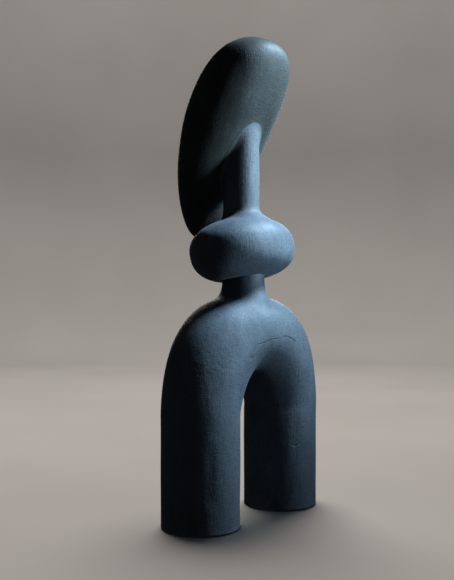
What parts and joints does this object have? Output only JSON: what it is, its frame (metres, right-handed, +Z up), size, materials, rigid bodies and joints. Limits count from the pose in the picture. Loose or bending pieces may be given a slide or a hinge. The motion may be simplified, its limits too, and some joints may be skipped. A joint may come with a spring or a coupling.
{
  "type": "standing ancestor figure",
  "caption": "Abstract dark wooden figure: round legs joined by an arch, a narrow waist, a leaning oval torso disc, a round neck and a long tilted oval head.",
  "frame": {"origin": "on the floor, at the middle of the figure's footprint box", "axes": "+Z up, the figure faces -Y, and its own left leg is on +X"},
  "size_m": [0.2093, 0.1252, 0.4966],
  "materials": {
    "blackened_wood": "matt, burnished by hand, with fine upright tool marks",
    "dowel_wood": "bare turned wood, hidden inside the joints"
  },
  "bodies": {
    "root": {"left_leg": "blackened_wood", "right_leg": "blackened_wood", "hip_arch": "blackened_wood", "torso_disc": "blackened_wood", "neck_post": "blackened_wood", "head": "blackened_wood", "leg_dowels": "dowel_wood", "waist_dowel": "dowel_wood", "neck_dowel": "dowel_wood", "head_dowel": "dowel_wood"}
  },
  "joints": []
}
